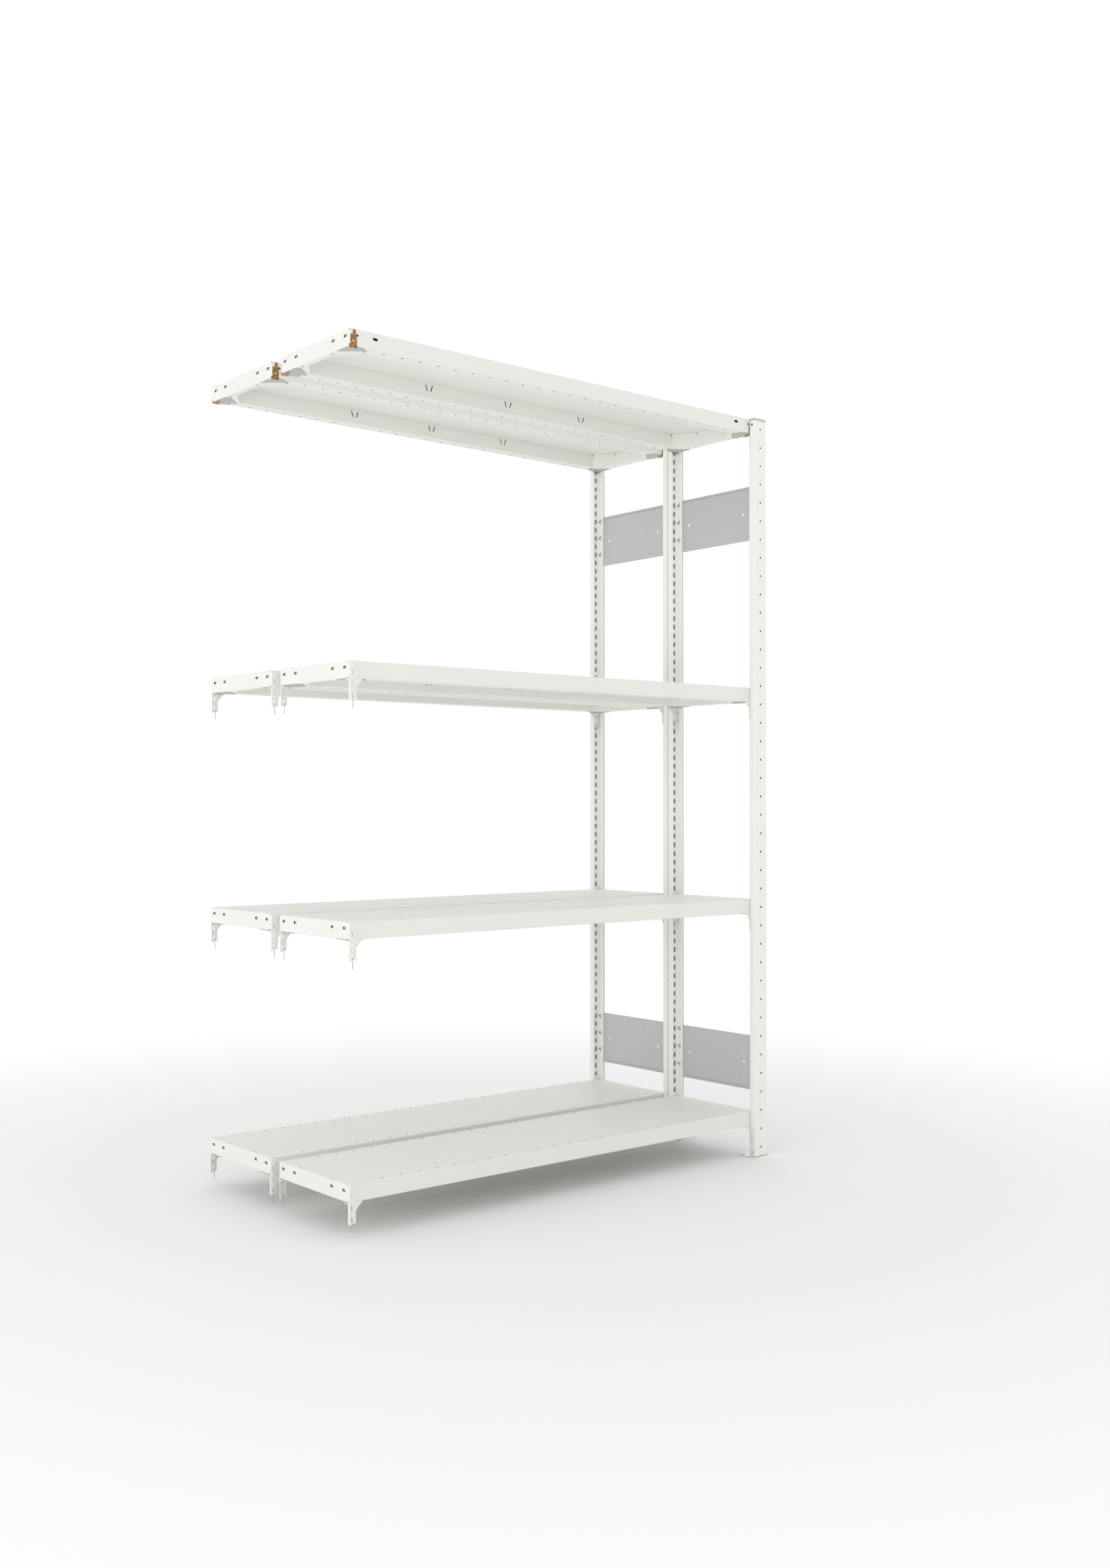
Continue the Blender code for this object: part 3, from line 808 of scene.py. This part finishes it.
def pin_mesh(hook_along):
    """The wire that locks a bracket: it starts in the lowest slit and hangs behind the plate."""
    curve = bpy.data.curves.new("pin", "CURVE")
    curve.dimensions = "3D"
    curve.bevel_depth = PIN_RADIUS
    curve.bevel_resolution = 3
    curve.use_fill_caps = True
    spline = curve.splines.new("NURBS")
    spline.points.add(len(PIN_PATH) - 1)
    for point, (x, y, z) in zip(spline.points, PIN_PATH):
        point.co = (hook_along + x, y, z - BRACKET_HOOKS[-1] - SLIT_DROP, 1.0)
    spline.order_u = 3
    spline.use_endpoint_u = True
    spline.resolution_u = 6
    obj = bpy.data.objects.new("pin", curve)
    bpy.context.scene.collection.objects.link(obj)
    graph = bpy.context.evaluated_depsgraph_get()
    mesh = bpy.data.meshes.new_from_object(obj.evaluated_get(graph))
    bpy.data.objects.remove(obj, do_unlink=True)
    bm = bmesh.new()
    bm.from_mesh(mesh)
    bmesh.ops.remove_doubles(bm, verts=bm.verts, dist=1e-6)
    bm.to_mesh(mesh)
    bm.free()
    return mesh


def mirrored(mesh):
    """The mesh mirrored in X, its faces still pointing out."""
    other = mesh.copy()
    other.transform(Matrix.Diagonal((-1.0, 1.0, 1.0, 1.0)))
    other.flip_normals()
    return other


# ---------------------------------------------------------------- assembly


def standing(x, y, faces_front):
    """The place of a piece that stands on its own centre line, turned about if it faces the back."""
    return Matrix.Translation((x, y, 0)) @ Matrix.Rotation(0.0 if faces_front else math.pi, 4, "Z")


def build_frames(paint, plastic, zinc, sheet):
    low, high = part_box("front_aisle_post")
    post = post_mesh(low, high)
    cap = cap_mesh(*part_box("front_aisle_post_cap"))
    foot = foot_plate_mesh(*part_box("front_aisle_foot_plate"))
    centre_x = (low.x + high.x) / 2
    for rack in RACKS:
        for kind in ("aisle", "inner"):
            node = f"{rack}_{kind}_post"
            low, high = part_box(node)
            faces_front = (rack == "front") == (kind == "aisle")
            place = standing(centre_x, low.y if faces_front else high.y, faces_front)
            piece(f"{node}_shell", post, paint, place, FRAME_BODY, "white_powder_coat", node)
            piece(f"{node}_top_cap", cap, plastic, place, FRAME_BODY, "grey_plastic", f"{node}_cap")
            plate = f"{rack}_{kind}_foot_plate"
            piece(f"{plate}_steel", foot, zinc, place, FRAME_BODY, "bright_zinc", plate)
        for level in ("lower", "upper"):
            node = f"{rack}_{level}_panel"
            low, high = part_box(node)
            mesh = panel_mesh(low, high, level == "upper")
            place = Matrix.Translation((centre_x, (low.y + high.y) / 2, (low.z + high.z) / 2))
            piece(f"{node}_sheet", mesh, sheet, place, FRAME_BODY, "galvanised_sheet", node)


def build_shelves(paint, brass, plate_zinc, sheet, wire):
    low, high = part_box("front_middle_shelf")
    height = high.z - low.z
    post_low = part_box("front_aisle_post")[0]
    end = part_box("front_middle_bracket_frame_aisle")[1].x
    hook_along = end - post_low.x - SLOT_INSET
    bracket, pin = bracket_mesh(height, hook_along), pin_mesh(hook_along)
    meshes = {
        "left": {
            "bracket": bracket,
            "clip": clip_mesh("left", height, hook_along),
            "pin": pin,
            "corner_plate": corner_plate_mesh("left", height),
        },
        "right": {
            "bracket": mirrored(bracket),
            "clip": mirrored(clip_mesh("right", height, hook_along)),
            "pin": mirrored(pin),
            "corner_plate": mirrored(corner_plate_mesh("right", height)),
        },
    }
    trays = {False: tray_mesh(low, high, False), True: tray_mesh(low, high, True)}
    end_strip = end_strip_mesh((high.y - low.y) / 2, height)
    for rack, side in RACKS.items():
        for level in LEVELS:
            body = f"{rack}_{level}_level"
            node = f"{rack}_{level}_shelf"
            low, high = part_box(node)
            middle = (low + high) / 2
            place = Matrix.Translation((middle.x, middle.y, high.z))
            piece(f"{node}_tray", trays[level == "top"], paint, place, body, "white_powder_coat", node)
            for end_name, at, turn in (("free", low.x, 0.0), ("frame", high.x, math.pi)):
                place = Matrix.Translation((at, middle.y, high.z)) @ Matrix.Rotation(turn, 4, "Z")
                name = f"{rack}_{level}_end_strip_{end_name}"
                piece(name, end_strip, sheet, place, body, "galvanised_sheet")
            kind = "clip" if level == "top" else "bracket"
            for end_name, along in (("free", -1), ("frame", 1)):
                for face, across in (("aisle", side), ("inner", -side)):
                    corner = f"{rack}_{level}_{kind}_{end_name}_{face}"
                    box_low, box_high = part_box(corner)
                    x = box_low.x if along < 0 else box_high.x
                    y = low.y - FACE_GAP if across < 0 else high.y + FACE_GAP
                    turn = Matrix.Rotation(0.0 if across < 0 else math.pi, 4, "Z")
                    place = Matrix.Translation((x, y, high.z)) @ turn
                    made = meshes["left" if along == across else "right"]
                    if kind == "clip":
                        piece(f"{corner}_brass", made[kind], brass, place, body, "yellow_zinc", corner)
                    else:
                        name = f"{corner}_steel"
                        piece(name, made[kind], paint, place, body, "white_powder_coat", corner)
                        name = f"{rack}_{level}_pin_{end_name}_{face}"
                        piece(name, made["pin"], wire, place, body, "bright_zinc")
                    name = f"{rack}_{level}_corner_plate_{end_name}_{face}"
                    piece(name, made["corner_plate"], plate_zinc, place, body, "galvanised_sheet")


# ---------------------------------------------------------------- stage, light and camera


def build_stage():
    """A pale floor that runs into a white surround. Near the unit it takes real light; from 1 m to 3.2 m out
    it is mixed more and more into a glow, painted light that lightens it to plain white.
    """
    bm = bmesh.new()
    bmesh.ops.create_circle(bm, cap_ends=True, segments=128, radius=60.0)
    floor = bpy.data.objects.new("floor", mesh_from(bm, "floor"))
    bpy.context.scene.collection.objects.link(floor)
    material = bpy.data.materials.new("floor")
    material.use_nodes = True
    nodes, links = material.node_tree.nodes, material.node_tree.links
    shader = nodes["Principled BSDF"]
    shader.inputs["Base Color"].default_value = (0.93, 0.93, 0.93, 1.0)
    shader.inputs["Roughness"].default_value = 0.7
    shader.inputs["Specular IOR Level"].default_value = 0.2
    # Painted light: a glow that the floor takes on more and more away from the unit's middle.
    painted_glow = nodes.new("ShaderNodeEmission")
    painted_glow.inputs["Strength"].default_value = 1.02
    mix = nodes.new("ShaderNodeMixShader")
    coordinates = nodes.new("ShaderNodeTexCoord")
    length = nodes.new("ShaderNodeVectorMath")
    length.operation = "LENGTH"
    links.new(coordinates.outputs["Object"], length.inputs[0])
    fade = nodes.new("ShaderNodeMapRange")
    fade.interpolation_type = "SMOOTHSTEP"
    fade.inputs["From Min"].default_value = 1.0
    fade.inputs["From Max"].default_value = 3.2
    links.new(length.outputs["Value"], fade.inputs["Value"])
    links.new(fade.outputs["Result"], mix.inputs["Fac"])
    links.new(shader.outputs["BSDF"], mix.inputs[1])
    links.new(painted_glow.outputs["Emission"], mix.inputs[2])
    links.new(mix.outputs["Shader"], nodes["Material Output"].inputs["Surface"])
    floor.data.materials.append(material)


def build_light():
    """A pale surround, which the camera sees as plain white, and one wide soft light at the free ends."""
    world = bpy.data.worlds.new("surround")
    bpy.context.scene.world = world
    world.use_nodes = True
    nodes, links = world.node_tree.nodes, world.node_tree.links
    background = nodes["Background"]
    background.inputs["Color"].default_value = (1.0, 1.0, 1.0, 1.0)
    seen = nodes.new("ShaderNodeLightPath")
    level = nodes.new("ShaderNodeMapRange")
    level.inputs["To Min"].default_value = 0.93
    level.inputs["To Max"].default_value = 1.03
    links.new(seen.outputs["Is Camera Ray"], level.inputs["Value"])
    links.new(level.outputs["Result"], background.inputs["Strength"])
    light = bpy.data.lights.new("side_light", "AREA")
    light.shape = "RECTANGLE"
    light.size = 4.0
    light.size_y = 1.9
    light.energy = 42.0
    obj = bpy.data.objects.new("side_light", light)
    obj.location = (-5.0, -1.2, 1.05)
    aim = Vector((0.0, 0.0, 1.0)) - obj.location
    obj.rotation_euler = aim.to_track_quat("-Z", "Y").to_euler()
    bpy.context.scene.collection.objects.link(obj)


def build_camera():
    camera = bpy.data.cameras.new("camera")
    camera.sensor_width = 36.0
    camera.lens = 35.866
    camera.clip_start = 0.05
    camera.clip_end = 200.0
    obj = bpy.data.objects.new("camera", camera)
    obj.location = (-2.5213, -3.2361, 0.9587)
    obj.rotation_euler = (math.radians(90.682), 0.0, math.radians(-39.942))
    bpy.context.scene.collection.objects.link(obj)
    bpy.context.scene.camera = obj


def main():
    post_paint, shelf_paint = powder_coat("post_paint", POST_PAINT), powder_coat("shelf_paint", SHELF_PAINT)
    sheet = galvanised()
    build_frames(post_paint, grey_plastic(), bright_zinc(), sheet)
    build_shelves(shelf_paint, yellow_zinc(), corner_zinc(), sheet, spring_wire())
    build_stage()
    build_light()
    build_camera()
    bpy.context.scene.view_settings.view_transform = "Standard"


main()
